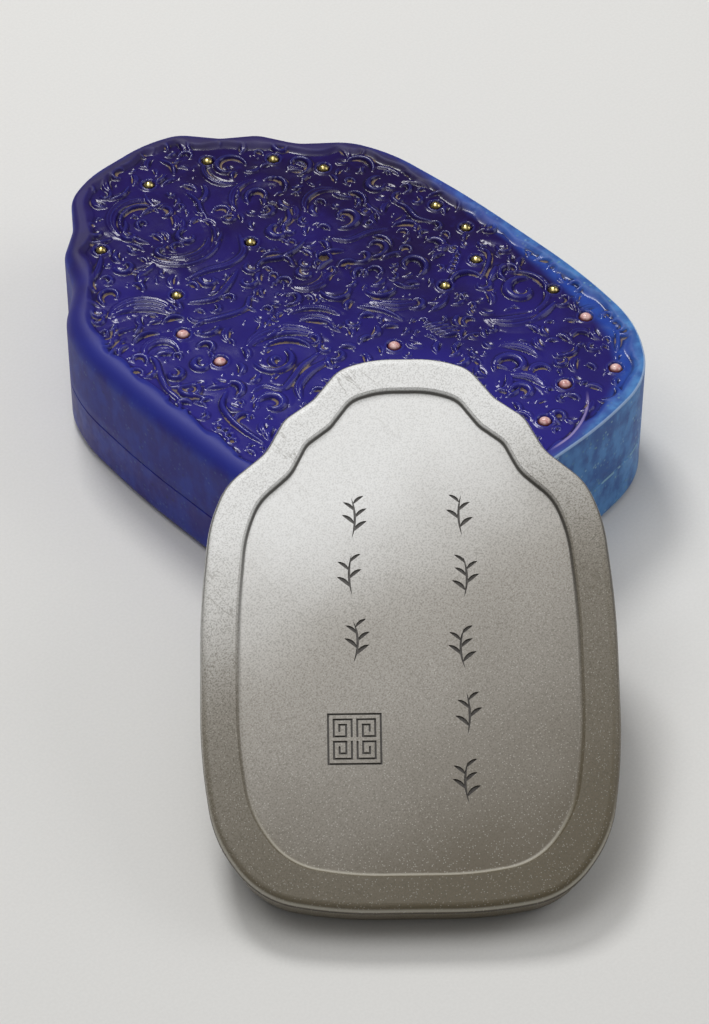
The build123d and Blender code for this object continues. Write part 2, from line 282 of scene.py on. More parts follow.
# Stems and long lines: half width, ridges, and the points of the line
stem_lines = [
    (0.5, 1, [(2, 47), (3, 51), (5, 55), (5.5, 60)]),
    (0.7, 2, [(-28, 22), (-27.4, 19), (-22, 16), (-15, 14), (-11, 16.5), (-10, 14)]),
    (0.6, 1, [(-30.4, 29), (-30, 27), (-28.6, 25)]),
    (0.6, 1, [(-28.4, 29), (-28.4, 27), (-28, 25)]),
    (0.6, 1, [(-26, 28.6), (-26.8, 27), (-27.4, 25)]),
    (0.7, 2, [(-46, 19), (-45.6, 15), (-48.4, 10), (-50.4, 5), (-51, 0), (-53.6, -3.4)]),
    (0.5, 1, [(-53.6, 29), (-50, 27.6), (-46.6, 30), (-41, 28.6)]),
    (0.5, 1, [(-54.4, 24), (-51, 25.6), (-46, 27)]),
    (0.7, 2, [(-56, 3.6), (-54, 2), (-52, 3)]),
    (0.7, 1, [(-40, -6.4), (-44, -9), (-46, -14), (-46.6, -20), (-46, -27)]),
    (0.6, 1, [(-43, -1.8), (-40, -3.8), (-37.4, -5)]),
    (0.8, 2, [(-35, -11), (-31.4, -11.4), (-29, -15.4), (-25, -14.8), (-19, -12.6), (-12, -12)]),
    (1.2, 2, [(-28, -21.6), (-25, -17.6), (-19, -15.6), (-12, -16)]),
    (1.0, 1, [(-55.4, -12), (-56, -17), (-55, -24)]),
    (0.8, 2, [(-55, -28), (-54.4, -36), (-52, -44)]),
    (0.6, 1, [(-4, 22), (0.8, 24.8), (6, 22.4), (11, 22), (16, 23.4)]),
    (0.9, 2, [(-24, 26), (-18, 22.6), (-12, 24), (-6, 26.6)]),
    (1.0, 2, [(-18, 33.4), (-12, 32.4), (-6, 30), (0, 31), (4, 37)]),
    (0.7, 1, [(14.6, 31.6), (18, 32.2), (20.6, 35.6)]),
    (0.6, 1, [(15, 16.4), (17.4, 15), (20, 13)]),
    (0.8, 2, [(21, 19), (24, 15), (30, 13.6), (35, 11)]),
    (0.5, 1, [(21, -6), (22, -9), (24.6, -11.4)]),
    (0.8, 2, [(20, -20.4), (24, -20.6), (27.6, -19.2)]),
    (0.6, 1, [(7.6, -6), (11, -12), (12.4, -18)]),
    (0.6, 1, [(47, -11.6), (47.6, -14.6), (44, -18), (39, -20.4)]),
    (1.0, 1, [(39.6, -23), (42, -21.8), (45, -20)]),
    (0.9, 1, [(36, -41.8), (41, -42), (46.4, -41)]),
    (0.5, 1, [(49.6, -60.6), (47.4, -63), (44, -65.6)]),
    (1.0, 1, [(45, -71.6), (46.4, -70), (47.6, -69.2)]),
    (0.6, 2, [(51.4, 22.6), (53.6, 19.6), (54.6, 16)]),
    (0.6, 2, [(50.4, 32), (52.4, 29), (52.6, 25)]),
    (0.7, 1, [(43.6, 18.4), (44.6, 14), (43.6, 9), (45.6, 5)]),
    (0.5, 1, [(36, -13), (38.6, -11), (41, -9.4), (43, -6.6)]),
    (0.8, 2, [(-38, 50), (-33, 52.6), (-29, 56)]),
    (0.6, 1, [(-12, 72), (-8, 71), (-4.6, 72.6)]),
    (0.6, 1, [(8, 68), (10, 71), (9.4, 75)]),
    (0.7, 1, [(25, 68), (27.6, 70), (31, 69.4)]),
    (0.7, 2, [(-20, -26), (-12, -25.6), (-5, -28), (0, -34)]),
    (0.7, 2, [(-44, -45), (-42, -52), (-36, -57), (-28, -58.6)]),
    (0.8, 2, [(4, -40), (3, -47), (-1, -50)]),
    (0.7, 1, [(-52, -62), (-46, -68), (-38, -74)]),
    (0.6, 1, [(-22, -77), (-14, -78.4), (-4, -78.6)]),
    (0.6, 1, [(4, -79.8), (11.9, -79.6), (17.7, -78), (23.3, -75.2), (25.6, -72.8)]),
]

# A fan of short parallel strokes, and rows of small pits that held dust
fan_origin = (12.6, -25.4)
fan_step = (0.2, -1.5)
fan_line = [(2, 2), (4, 0.6), (7, -0.6)]
fan_strokes = 5
fan_half_width = 0.62
pit_rows = [
    [(36, -12.6), (37.6, -11.6), (39, -10.8), (40.4, -9.8), (42.2, -7)],
    [(35.5, 20.5), (32.5, 16.3)],
    [(-50.6, -15), (-50, -17), (-50.6, -19), (-51.4, -21)],
]

# Round pits: radius, if it isn't a bead's own, and depth, in a low seat that rises beside them
pit_radius, pit_depth = 0.35, 1.5
bead_pit_depth = 1.75
empty_socket = (14.2, 14.5)
empty_radius, empty_depth = 1.2, 2.6
seat_level = -0.5
pit_gap, seat_reach = 0.3, 1.5
kept_round_pit, kept_round_bead = 1.2, 3.0

# Small strokes between the larger ones. Each kind: start and end radius and half width as shares
# of its size, sweep, ridges across, and whether its groove is deeper on one side
filler_seed = 7
filler_tries = 4200
filler_sizes = (1.1, 3.0)
filler_level = -0.3
filler_gap, filler_edge_gap = 0.4, 0.6
filler_kinds = {
    "curl": (1.0, 0.4, 0.30, 240, 1, True),
    "comma": (1.0, 0.8, 0.34, 110, 1, True),
    "pair": (1.4, 1.3, 0.40, 90, 2, True),
    "dash": (3.0, 3.0, 0.26, 45, 1, False),
}
filler_lots = ("curl", "comma", "pair", "pair", "dash", "dot")
dot_radii, dot_sweep, dot_half_width, dot_level = (0.25, 0.15), 40, 0.6, -0.4
busy_limit = 0.17


def rounded_outline(length, width):
    """The lobed outline round the middle of the case, as points that match from size to size."""
    right = np.array([(x * width / 2, (y - 0.5) * length) for x, y, _ in outline_corner_shares])
    corners = np.vstack([right, right[::-1] * (-1, 1)])
    reach_shares = [share for _, _, share in outline_corner_shares]
    reach_shares = reach_shares + reach_shares[::-1]
    arcs = []
    for number, corner in enumerate(corners):
        way_back = corners[number - 1] - corner
        way_on = corners[(number + 1) % len(corners)] - corner
        back_run, on_run = np.hypot(*way_back), np.hypot(*way_on)
        way_back, way_on = way_back / back_run, way_on / on_run
        half_turn = (math.pi - math.acos(way_back @ way_on)) / 2
        reach = reach_shares[number] * min(back_run, on_run)
        inward = (way_back + way_on) / np.hypot(*(way_back + way_on))
        center = corner + inward * reach / math.sin(half_turn)
        start = corner + way_back * reach - center
        side = math.copysign(1, way_on[0] * way_back[1] - way_on[1] * way_back[0])
        turns = side * 2 * half_turn * np.linspace(0, 1, points_per_arc)
        arcs.append(center + np.stack([
            start[0] * np.cos(turns) - start[1] * np.sin(turns),
            start[0] * np.sin(turns) + start[1] * np.cos(turns),
        ], axis=1))
    points = []
    for number, arc in enumerate(arcs):
        points.append(arc)
        following = arcs[(number + 1) % len(arcs)][0]
        shares = np.linspace(0, 1, points_per_run + 2)[1:-1, None]
        points.append(arc[-1] + (following - arc[-1]) * shares)
    return np.vstack(points)


def sized_outline(length, width):
    """The outline with this true width, which its rounded sides would leave a little narrower."""
    return rounded_outline(length, width * width / np.ptp(rounded_outline(length, width)[:, 0]))


def to_left(ways):
    """Directions turned left by a right angle, each of length 1."""
    ways = ways / np.hypot(ways[:, 0], ways[:, 1])[:, None]
    return np.stack([-ways[:, 1], ways[:, 0]], axis=1)


outer_line = sized_outline(case_length, case_width)
panel_line = outer_line + panel_inset * to_left(np.roll(outer_line, -1, axis=0)
                                                - np.roll(outer_line, 1, axis=0))


def half_width_at(line, y):
    """Half the width of an outline at y."""
    right = line[line[:, 0] >= 0]
    right = right[np.argsort(right[:, 1])]
    return np.interp(y, right[:, 1], right[:, 0], left=-1, right=-1)


def closed(line):
    """A row of points with the first one again at its end."""
    return np.vstack([line, line[:1]])


def nearest_on(path, x, y):
    """How places lie to a row of points: distance, place along it counted in points, and side."""
    nearest = np.full(np.shape(x), 1e9)
    place = np.zeros(np.shape(x))
    side = np.ones(np.shape(x))
    for number, ((ax, ay), (bx, by)) in enumerate(zip(path, path[1:])):
        run_x, run_y = bx - ax, by - ay
        share = ((x - ax) * run_x + (y - ay) * run_y) / (run_x**2 + run_y**2)
        share = np.clip(share, 0, 1)
        off_x, off_y = x - ax - share * run_x, y - ay - share * run_y
        squared = off_x**2 + off_y**2
        nearer = squared < nearest
        nearest = np.where(nearer, squared, nearest)
        place = np.where(nearer, number + share, place)
        side = np.where(nearer, np.where(run_x * off_y - run_y * off_x < 0, -1, 1), side)
    return np.sqrt(nearest), place, side


# The grid that carries the carving
columns = int(case_width / carving_step / 2) + 2
rows = int(case_length / carving_step / 2) + 2
grid_x, grid_y = np.meshgrid(np.arange(-columns, columns + 1) * carving_step,
                             np.arange(-rows, rows + 1) * carving_step, indexing="ij")


def smooth(low, high, value):
    """Rises smoothly from 0 at low to 1 at high."""
    share = np.clip((value - low) / (high - low), 0, 1)
    return share * share * (3 - 2 * share)


def shoulder_radius(x, y):
    """The radius of the rounded shoulder beside a place."""
    wide = soft_shoulder + (head_shoulder - soft_shoulder) * smooth(*head_span, y)
    return crisp_shoulder + (wide - crisp_shoulder) * smooth(*left_span, x)


def shoulder_drop(inset, radius):
    """How far the shoulder lies below the top at a distance from the wall."""
    return radius - np.sqrt(radius**2 - np.clip(radius - inset, 0, radius)**2)


def edge_distances():
    """How far each place of the grid lies inside the wall, up to the width of the edge zone."""
    inner_line = sized_outline(case_length - 2 * edge_zone, case_width - 2 * edge_zone)
    inside = np.abs(grid_x) < half_width_at(outer_line, grid_y)
    zone = inside & (np.abs(grid_x) > half_width_at(inner_line, grid_y))
    distances = np.where(inside, edge_zone, 0.0)
    every_third = outer_line[::3]
    in_zone, _, _ = nearest_on(closed(every_third), grid_x[zone], grid_y[zone])
    distances[zone] = np.minimum(in_zone, edge_zone)
    return distances


def waves(pitch, bend_pitch, bend):
    """Slow uneven waves between -1 and 1 over the lid."""
    return np.sin(grid_x * pitch + bend * np.sin(grid_y * bend_pitch)) * np.sin(
        grid_y * pitch * cross_pitch
        + bend * cross_bend * np.sin(grid_x * bend_pitch * cross_bend_pitch))


edge_distance = edge_distances()
border = (border_width + left_border_extra * smooth(*left_span, grid_x)
          + border_unevenness * waves(*border_waves))
carved_share = smooth(border, border + border_slope, edge_distance)
ground = -panel_depth + slow_swell * waves(*slow_waves) + quick_swell * waves(*quick_waves)
height = ground * carved_share
busy = np.zeros(height.shape, bool)


def arc_path(x, y, start_radius, end_radius, start_angle, sweep):
    """A circle's arc or a spiral as a row of points."""
    share = np.linspace(0, 1, max(least_arc_points, int(abs(sweep) / arc_step_angle)))
    radius = start_radius + (end_radius - start_radius) * share
    angle = np.radians(start_angle + sweep * share)
    return np.stack([x + radius * np.cos(angle), y + radius * np.sin(angle)], axis=1)


def line_path(points):
    """A smooth line through a few points."""
    knots = np.array([points[0], *points, points[-1]], float)
    pieces = []
    for a, b, c, d in zip(knots, knots[1:], knots[2:], knots[3:]):
        t = np.linspace(0, 1, points_per_knot, endpoint=False)[:, None]
        pieces.append(0.5 * (2 * b + (c - a) * t + (2 * a - 5 * b + 4 * c - d) * t**2
                             + (3 * b - a - 3 * c + d) * t**3))
    return np.vstack(pieces + [knots[-1:]])


def window_round(path, reach):
    """The part of the grid that lies within reach of a path."""
    low = np.floor((path.min(axis=0) - reach) / carving_step).astype(int) + (columns, rows)
    high = np.ceil((path.max(axis=0) + reach) / carving_step).astype(int) + (columns, rows) + 1
    return tuple(slice(max(start, 0), max(stop, 0)) for start, stop in zip(low, high))


def carve(path, half_width, ridges, level, cut_side=0, cut=cut_depth,
          softness=stroke_softness):
    """Raises a rounded, fluted stroke along a path, beside a groove, deeper on the cut side."""
    window = window_round(path, half_width + 4 * cut_width)
    if height[window].size == 0:
        return
    distance, place, side = nearest_on(path, grid_x[window], grid_y[window])
    across = side * distance
    reached = np.cumsum([0, *np.hypot(*np.diff(path, axis=0).T)])
    along = np.interp(place, np.arange(len(path)), reached / reached[-1])
    body = np.sin(math.pi * along).clip(0, 1)
    width = half_width * (end_width_share + (1 - end_width_share) * body**end_taper)
    dome = np.clip(1 - (distance / width)**2, 0, 1)**softness
    flutes = 1.0
    if ridges > 1:
        flutes = np.sin(math.pi * ridges * (across / width + 1) / 2)**2
        flutes = flute_floor + (1 - flute_floor) * flutes
    edge = carved_share[window]
    floor = -panel_depth * edge
    body_height = end_height_share + (1 - end_height_share) * body
    raised = floor + (level * edge - floor) * dome * flutes * body_height
    side_cut = even_cut
    if cut_side:
        side_cut = np.where(np.sign(across) == cut_side, deep_cut, shallow_cut)
    past_side = np.clip(distance - width, 0, None) / (cut_width * side_cut**0.5)
    groove = cut * side_cut * edge * body**0.5 * np.exp(-past_side**2)
    around = height[window] - groove
    inside = distance < width
    height[window] = np.where(inside, np.maximum(raised, around - ground_cut),
                              np.maximum(around, floor - 2 * cut_depth))
    busy[window] |= distance < busy_widening * width


def carve_fillers():
    """Commas, dashes and small curls in the places that the larger strokes leave free."""
    draw = random.Random(filler_seed)
    for _ in range(filler_tries):
        x = draw.uniform(-case_width / 2, case_width / 2)
        y = draw.uniform(-case_length / 2, case_length / 2)
        size = draw.uniform(*filler_sizes)
        kind = draw.choice(filler_lots)
        angle = draw.uniform(0, 360)
        way = draw.choice((-1, 1))
        i, j = int(round(x / carving_step)) + columns, int(round(y / carving_step)) + rows
        span = int((size + filler_gap) / carving_step)
        window = (slice(i - span, i + span + 1), slice(j - span, j + span + 1))
        too_near_edge = edge_distance[i, j] < border[i, j] + 0.5 * size + filler_edge_gap
        if too_near_edge or busy[window].mean() > busy_limit:
            continue
        if kind == "dot":
            carve(arc_path(x, y, *dot_radii, angle, dot_sweep), dot_half_width, 1, dot_level)
            continue
        start, end, half_width, sweep, ridges, one_sided = filler_kinds[kind]
        carve(arc_path(x, y, start * size, end * size, angle, way * sweep), half_width * size,
              ridges, filler_level, way if one_sided else 0)


def sink(x, y, radius, depth):
    """A round pit in a low seat."""
    off = np.hypot(grid_x - x, grid_y - y)
    seat = smooth(radius + seat_reach, radius + pit_gap, off)
    height[:] = height + (seat_level - height) * seat
    height[:] = np.where(off < radius + pit_gap, -depth, height)


def keep_free(x, y, radius):
    """Keeps the small strokes away from a place."""
    busy[np.hypot(grid_x - x, grid_y - y) < radius] = True


def blurred(values, reach):
    """A soft average over a reach in millimetres."""
    taps = int(3 * reach / carving_step)
    weights = np.exp(-(np.arange(-taps, taps + 1) * carving_step / reach)**2 / 2)
    weights = weights / weights.sum()
    for axis in (0, 1):
        values = sum(weight * np.roll(values, step - taps, axis=axis)
                     for step, weight in enumerate(weights))
    return values


bead_places = []
for name in frame["nodes"]:
    if "_bead_" in name:
        low, high = box_mm(name)
        bead_places.append(((low[0] + high[0]) / 2, (low[1] + high[1]) / 2,
                            (high[0] - low[0]) / 2))
pit_places = [place for row in pit_rows for place in row]

for x, y, *arc, half_width, ridges in fold_arcs:
    carve(arc_path(x, y, *arc), half_width * fold_widening, ridges, fold_level, cut=0,
          softness=fold_softness)
busy[:] = False
for x, y, *arc, half_width, ridges in scroll_arcs:
    carve(arc_path(x, y, *arc), half_width, ridges, scroll_level, math.copysign(1, arc[-1]))
for half_width, ridges, points in stem_lines:
    carve(line_path(points), half_width * stem_widening, ridges, stem_level)
for number in range(fan_strokes):
    points = np.array(fan_origin) + number * np.array(fan_step) + fan_line
    carve(line_path(points), fan_half_width, 1, fan_level)
for x, y in pit_places:
    keep_free(x, y, kept_round_pit)
for x, y, _ in bead_places:
    keep_free(x, y, kept_round_bead)
carve_fillers()
for x, y in pit_places:
    sink(x, y, pit_radius, pit_depth)
for x, y, radius in bead_places:
    sink(x, y, radius, bead_pit_depth)
sink(*empty_socket, empty_radius, empty_depth)
height = softening_share * blurred(height, softening_reach) + (1 - softening_share) * height
hollow = blurred(height, hollow_reach) - height


def at_places(line, places):
    """The points of a closed line at places counted in its points."""
    whole = np.floor(places).astype(int)
    share = (places - whole)[:, None]
    return line[whole % len(line)] * (1 - share) + line[(whole + 1) % len(line)] * share


def inset_at_places(places, inset):
    """Points at places of the outline, drawn in by an inset for each."""
    along = at_places(outer_line, places + 0.5) - at_places(outer_line, places - 0.5)
    return at_places(outer_line, places) + to_left(along) * np.reshape(inset, (-1, 1))


def border_loop(cells):
    """The closed loop of grid corners round a block of cells, which lie to its left."""
    following = {}
    filled = np.pad(cells, 1)
    for i, j in zip(*np.nonzero(cells)):
        for side, start, end in (
            ((0, -1), (i, j), (i + 1, j)),
            ((1, 0), (i + 1, j), (i + 1, j + 1)),
            ((0, 1), (i + 1, j + 1), (i, j + 1)),
            ((-1, 0), (i, j + 1), (i, j)),
        ):
            if not filled[i + 1 + side[0], j + 1 + side[1]]:
                following[start] = end
    first = next(iter(following))
    loop = [first]
    while following[loop[-1]] != first:
        loop.append(following[loop[-1]])
    return loop


def carved_top():
    """The carved top as vertices and faces, with the loop round it, the places of the loop on the
    outline, and the numbers that the material reads."""
    middle_x = (grid_x[:-1, :-1] + grid_x[1:, 1:]) / 2
    middle_y = (grid_y[:-1, :-1] + grid_y[1:, 1:]) / 2
    cells = np.abs(middle_x) < half_width_at(panel_line, middle_y)
    used = np.zeros(grid_x.shape, bool)
    for i, j in ((0, 0), (1, 0), (1, 1), (0, 1)):
        used[i:i + cells.shape[0], j:j + cells.shape[1]] |= cells
    index = np.full(grid_x.shape, -1)
    index[used] = np.arange(used.sum())
    i, j = np.nonzero(cells)
    faces = np.stack([index[i, j], index[i + 1, j], index[i + 1, j + 1], index[i, j + 1]], axis=1)
    loop = np.array([index[corner] for corner in border_loop(cells)])

    inset = np.maximum(edge_distance[used], panel_inset)
    drop = shoulder_drop(inset, shoulder_radius(grid_x[used], grid_y[used]))
    vertices = np.stack([grid_x[used], grid_y[used], lid_top + height[used] - drop], axis=1)
    numbers = {"hollow": hollow[used], "carved": carved_share[used], "inset": inset}
    _, places, _ = nearest_on(closed(panel_line), *vertices[loop, :2].T)
    edge = at_places(panel_line, places)
    vertices[loop, :2] = edge
    vertices[loop, 2] = lid_top - shoulder_drop(panel_inset, shoulder_radius(*edge.T))
    for name, on_loop in (("hollow", 0), ("carved", 0), ("inset", panel_inset)):
        numbers[name][loop] = on_loop
    return vertices, faces.tolist(), loop, places, numbers


def outer_rings(places):
    """Rings from the carved top down the shoulder and the wall: inset and drop of their points."""
    radius = shoulder_radius(*at_places(panel_line, places).T)
    first_angle = np.arcsin(np.clip(1 - panel_inset / radius, 0, 1))
    rings = []
    for number in range(1, shoulder_rings + 1):
        angle = first_angle + (math.pi / 2 - first_angle) * number / shoulder_rings
        rings.append((radius * (1 - np.sin(angle)), radius * (1 - np.cos(angle))))
    flat = np.zeros(len(places))
    for share in wall_ring_shares:
        rings.append((flat, radius + (wall_height - radius - parting_bevel) * share))
    rings.append((flat, flat + wall_height - parting_bevel))
    rings.append((flat + parting_bevel, flat + wall_height))
    return rings


def inner_rings(places):
    """Rings from the parting line up into the hollow: plan and level of their points."""
    def wall(outward):
        length = case_length - 2 * (end_wall - outward)
        width = case_width - 2 * (side_wall - outward)
        return at_places(sized_outline(length, width), places)

    step_level = parting_level + rabbet_depth
    ceiling = parting_level + hollow_depth
    rings = [(wall(rabbet_reach), parting_level), (wall(rabbet_reach), step_level),
             (wall(0), step_level), (wall(0), ceiling)]
    return rings + [(wall(0) * share, ceiling) for share in ceiling_ring_shares]


def build_lid():
    """The lid as one closed mesh: carved top, rounded shoulder, walls and hollow."""
    vertices, faces, loop, places, numbers = carved_top()
    layers = [vertices]
    insets = [numbers["inset"]]
    for inset, drop in outer_rings(places):
        layers.append(np.column_stack([inset_at_places(places, inset), lid_top - drop]))
        insets.append(inset)
    for plan, level in inner_rings(places):
        layers.append(np.column_stack([plan, np.full(len(plan), level)]))
    previous = loop
    for number in range(len(layers) - 1):
        current = len(vertices) + number * len(loop) + np.arange(len(loop))
        corners = [previous, current, np.roll(current, -1), np.roll(previous, -1)]
        faces += np.stack(corners, axis=1).tolist()
        previous = current
    last = int(previous[-1]) + 1
    faces += [(a, last, b) for a, b in zip(previous.tolist(), np.roll(previous, -1).tolist())]
    layers.append([[0, 0, parting_level + hollow_depth]])

    mesh = bpy.data.meshes.new("case_lid_carved")
    mesh.from_pydata((np.vstack(layers) * mm).tolist(), [], faces)
    numbers["inset"] = np.concatenate(insets)
    for label, values in numbers.items():
        everywhere = np.zeros(last + 1, np.float32)
        everywhere[:len(values)] = values
        mesh.attributes.new(label, "FLOAT", "POINT").data.foreach_set("value", everywhere)
    mesh.validate()
    mesh.update()
    mesh.shade_smooth()
    lid = bpy.data.objects.new("case_lid_carved", mesh)
    bpy.context.scene.collection.objects.link(lid)
    return lid


def srgb(*parts):
    """A colour written as 0 to 255 sRGB parts, as Blender's linear colour."""
    linear = [p / 255 / 12.92 if p <= 10 else ((p / 255 + 0.055) / 1.055)**2.4 for p in parts]
    return (*linear, 1)


# Blue stone: the wall's two shades at the violet end and at the azure end, and what mottles it
violet_wall = [srgb(34, 24, 124), srgb(36, 50, 152)]
azure_wall = [srgb(44, 92, 158), srgb(76, 136, 196)]
wall_cloud = srgb(44, 50, 124)
pale_flecks = [srgb(150, 190, 200), srgb(112, 160, 156)]
dark_fleck = srgb(30, 36, 76)
worn_parting = srgb(150, 190, 206)
panel_violets = [srgb(24, 6, 62), srgb(30, 14, 84)]
panel_near_stone = srgb(42, 37, 130)
panel_cloud = srgb(38, 34, 112)
lit_border_blue = srgb(30, 46, 142)
border_blue = srgb(36, 62, 156)
# Painted highlight along a ridge line
ridge_highlight_lilac = srgb(156, 140, 184)
# Painted sheen on the crests of the carving
crest_sheen_blue = srgb(58, 70, 160)
hollow_shadow = srgb(16, 8, 40)
dust_tan = srgb(140, 120, 94)
arris_blue = srgb(166, 190, 222)

# Ways along which the blue stone changes: to the foot right, where it is azure, to the right
# corner, where the azure reaches furthest onto the top, and towards the leaning stone
foot_right_way = (0.72, -0.69, 0)
right_corner_way = (0.93, -0.37, 0)
stone_way = (-0.8, -0.6, 0)

# Ridge line inside the border at the foot right, with a painted highlight along it: centre and
# radius of its arc
ridge_center = (8.0, -55.0)
ridge_radius = 25.05

# Grey stone: its dark tone, its own olive with painted shade, and its middle tone; its brightest, a
# painted sheen; and what marks it, with painted shade on the rim's darker tone and a painted shadow
# and highlight on the step round the field
grey_shaded_and_middle = [srgb(97, 87, 68), srgb(178, 173, 165)]
grey_sheen = srgb(242, 242, 240)
grey_rim_shade = srgb(92, 82, 60)
grey_speckle = srgb(84, 78, 62)
grey_fleck = srgb(224, 221, 212)
grey_cut = srgb(40, 33, 26)
grey_step_shadow = srgb(36, 31, 22)
grey_step_highlight = srgb(206, 202, 188)
grey_scratch = srgb(96, 88, 72)

# Beads: their level in the lid, and the colours of dome, tarnish or clouding, and foot
bead_level = lid_top - 0.1
gilt, gilt_tarnish, gilt_foot = srgb(206, 190, 128), srgb(126, 104, 48), srgb(84, 66, 30)
pinks = [srgb(234, 196, 190), srgb(196, 130, 128)]
pink_foot = srgb(92, 40, 38)

floor_tones = [srgb(226, 225, 222), srgb(223, 222, 219)]


class Shader:
    """A material under construction, with short names for the nodes that it uses."""

    def __init__(self, name):
        self.material = bpy.data.materials.new(name)
        self.material.use_nodes = True
        self.tree = self.material.node_tree
        self.surface = self.tree.nodes["Principled BSDF"]
        self.place = self.node("ShaderNodeTexCoord").outputs["Object"]

    def feed(self, socket, value):
        """Sets a socket to a value, or links it to an output."""
        if isinstance(value, bpy.types.NodeSocket):
            self.tree.links.new(value, socket)
        else:
            socket.default_value = value

    def node(self, kind, *inputs, **settings):
        """A node whose first inputs are the ones given, as values or as other nodes' outputs."""
        made = self.tree.nodes.new(kind)
        for key, value in settings.items():
            setattr(made, key, value)
        for socket, value in zip(made.inputs, inputs):
            self.feed(socket, value)
        return made

    def math(self, operation, *values):
        """The result of a number operation."""
        return self.node("ShaderNodeMath", *values, operation=operation).outputs[0]

    def plus(self, first, second):
        """The sum of two numbers."""
        return self.math("ADD", first, second)

    def minus(self, first, second):
        """The difference of two numbers."""
        return self.math("SUBTRACT", first, second)

    def times(self, first, *others):
        """The product of numbers."""
        for other in others:
            first = self.math("MULTIPLY", first, other)
        return first

    def apart(self, first, second):
        """How far two numbers are apart."""
        return self.math("ABSOLUTE", self.minus(first, second))

    def along(self, direction):
        """How far the place lies along a direction."""
        made = self.node("ShaderNodeVectorMath", self.place, tuple(direction),
                         operation="DOT_PRODUCT")
        return made.outputs["Value"]

    def scaled_place(self, factors):
        """The place with each coordinate multiplied by a factor."""
        made = self.node("ShaderNodeVectorMath", self.place, factors, operation="MULTIPLY")
        return made.outputs[0]

    def noise(self, size_mm, detail, stretch=(1, 1, 1)):
        """Soft noise with features of about this size, from 0 to 1."""
        made = self.node("ShaderNodeTexNoise", self.scaled_place(stretch))
        made.inputs["Scale"].default_value = 1 / (size_mm * mm)
        made.inputs["Detail"].default_value = detail
        return made.outputs["Fac"]

    def cells(self, size_mm):
        """Distance to the nearest of scattered points about this far apart."""
        made = self.node("ShaderNodeTexVoronoi", self.place)
        made.inputs["Scale"].default_value = 1 / (size_mm * mm)
        return made.outputs["Distance"]

    def ramp(self, value, low, high, low_out=0.0, high_out=1.0):
        """A smooth step of a number between two limits."""
        made = self.node("ShaderNodeMapRange", value, low, high, low_out, high_out,
                         interpolation_type="SMOOTHSTEP")
        return made.outputs[0]

    def ramp_mm(self, value, low_mm, high_mm, low_out=0.0, high_out=1.0):
        """The same between two limits in millimetres."""
        return self.ramp(value, low_mm * mm, high_mm * mm, low_out, high_out)

    def mix(self, share, first, second):
        """A blend of two colours."""
        made = self.node("ShaderNodeMix", data_type="RGBA")
        for socket, value in zip((made.inputs[0], made.inputs[6], made.inputs[7]),
                                 (share, first, second)):
            self.feed(socket, value)
        return made.outputs[2]

    def number(self, name):
        """A number stored on the mesh."""
        return self.node("ShaderNodeAttribute", attribute_name=name).outputs["Fac"]

    def finish(self, color, roughness, **constants):
        """Links the colour and the roughness, and sets constant inputs."""
        self.feed(self.surface.inputs["Base Color"], color)
        self.feed(self.surface.inputs["Roughness"], roughness)
        for name, value in constants.items():
            self.surface.inputs[name].default_value = value
        return self.material

    def bump(self, relief, depth_mm):
        """Gives the surface a fine relief, whose heights of 0 to 1 stand for this depth."""
        made = self.node("ShaderNodeBump")
        made.inputs["Strength"].default_value = 1.0
        made.inputs["Distance"].default_value = depth_mm * mm
        self.feed(made.inputs["Height"], relief)
        self.feed(self.surface.inputs["Normal"], made.outputs[0])


def wall_color(shade, fine, azure_share):
    """Mottled blue, violet at one end and azure at the other, flecked, worn at the parting line."""
    deep = shade.mix(azure_share, violet_wall[0], azure_wall[0])
    pale = shade.mix(azure_share, violet_wall[1], azure_wall[1])
    streaks = shade.noise(4.5, 5, (1, 1, 0.6))
    color = shade.mix(shade.ramp(streaks, 0.36, 0.66), deep, pale)
    color = shade.mix(shade.ramp(fine, 0.5, 0.75, 0, 0.4), color, wall_cloud)
    pale_spots = shade.times(shade.ramp(shade.cells(1.7), 0.30, 0.12),
                             shade.ramp(shade.noise(6, 3), 0.44, 0.58),
                             shade.ramp(azure_share, 0, 1, 0.12, 0.7))
    fleck_color = shade.mix(shade.ramp(shade.noise(9, 2), 0.45, 0.55), *pale_flecks)
    color = shade.mix(pale_spots, color, fleck_color)
    dark_spots = shade.times(shade.ramp(shade.cells(4.3), 0.17, 0.07),
                             shade.ramp(shade.noise(8, 3), 0.45, 0.6), 0.4)
    color = shade.mix(dark_spots, color, dark_fleck)
    off_parting = shade.apart(shade.along((0, 0, 1)), parting_level * mm)
    worn = shade.times(shade.ramp_mm(off_parting, 0.55, 0.35), shade.ramp(fine, 0.42, 0.56),
                       azure_share, 0.7)
    return shade.mix(worn, color, worn_parting)


def panel_color(shade, wall, clouds, fine, drift, inset):
    """Violet on the top, with the wall's blue over its border, furthest at the right corner."""
    edge_way = shade.plus(inset, shade.times(shade.minus(clouds, 0.5), 8.0))
    azure_reach = shade.ramp_mm(shade.along(right_corner_way), 36, 76, -1.5, 8.0)
    on_top = shade.times(shade.ramp(shade.minus(edge_way, azure_reach), -1.0, 3.5),
                         shade.ramp(inset, 0.05, 0.7))
    near_stone = shade.ramp_mm(shade.plus(shade.along(stone_way), drift), -50, 50)
    violet = shade.mix(shade.ramp(clouds, 0.36, 0.62), *panel_violets)
    violet = shade.mix(shade.times(near_stone, 0.85), violet, panel_near_stone)
    violet = shade.mix(shade.ramp(fine, 0.5, 0.8, 0, 0.35), violet, panel_cloud)
    plain = shade.ramp(shade.number("carved"), 1.0, 0.7)
    lit_border = shade.times(plain, shade.ramp(near_stone, 0.3, 1, 0, 0.6))
    violet = shade.mix(lit_border, violet, lit_border_blue)
    edge_color = shade.mix(shade.ramp(inset, 0.6, 4.5, 0.1, 0.85), wall, border_blue)
    return shade.mix(on_top, edge_color, violet), plain


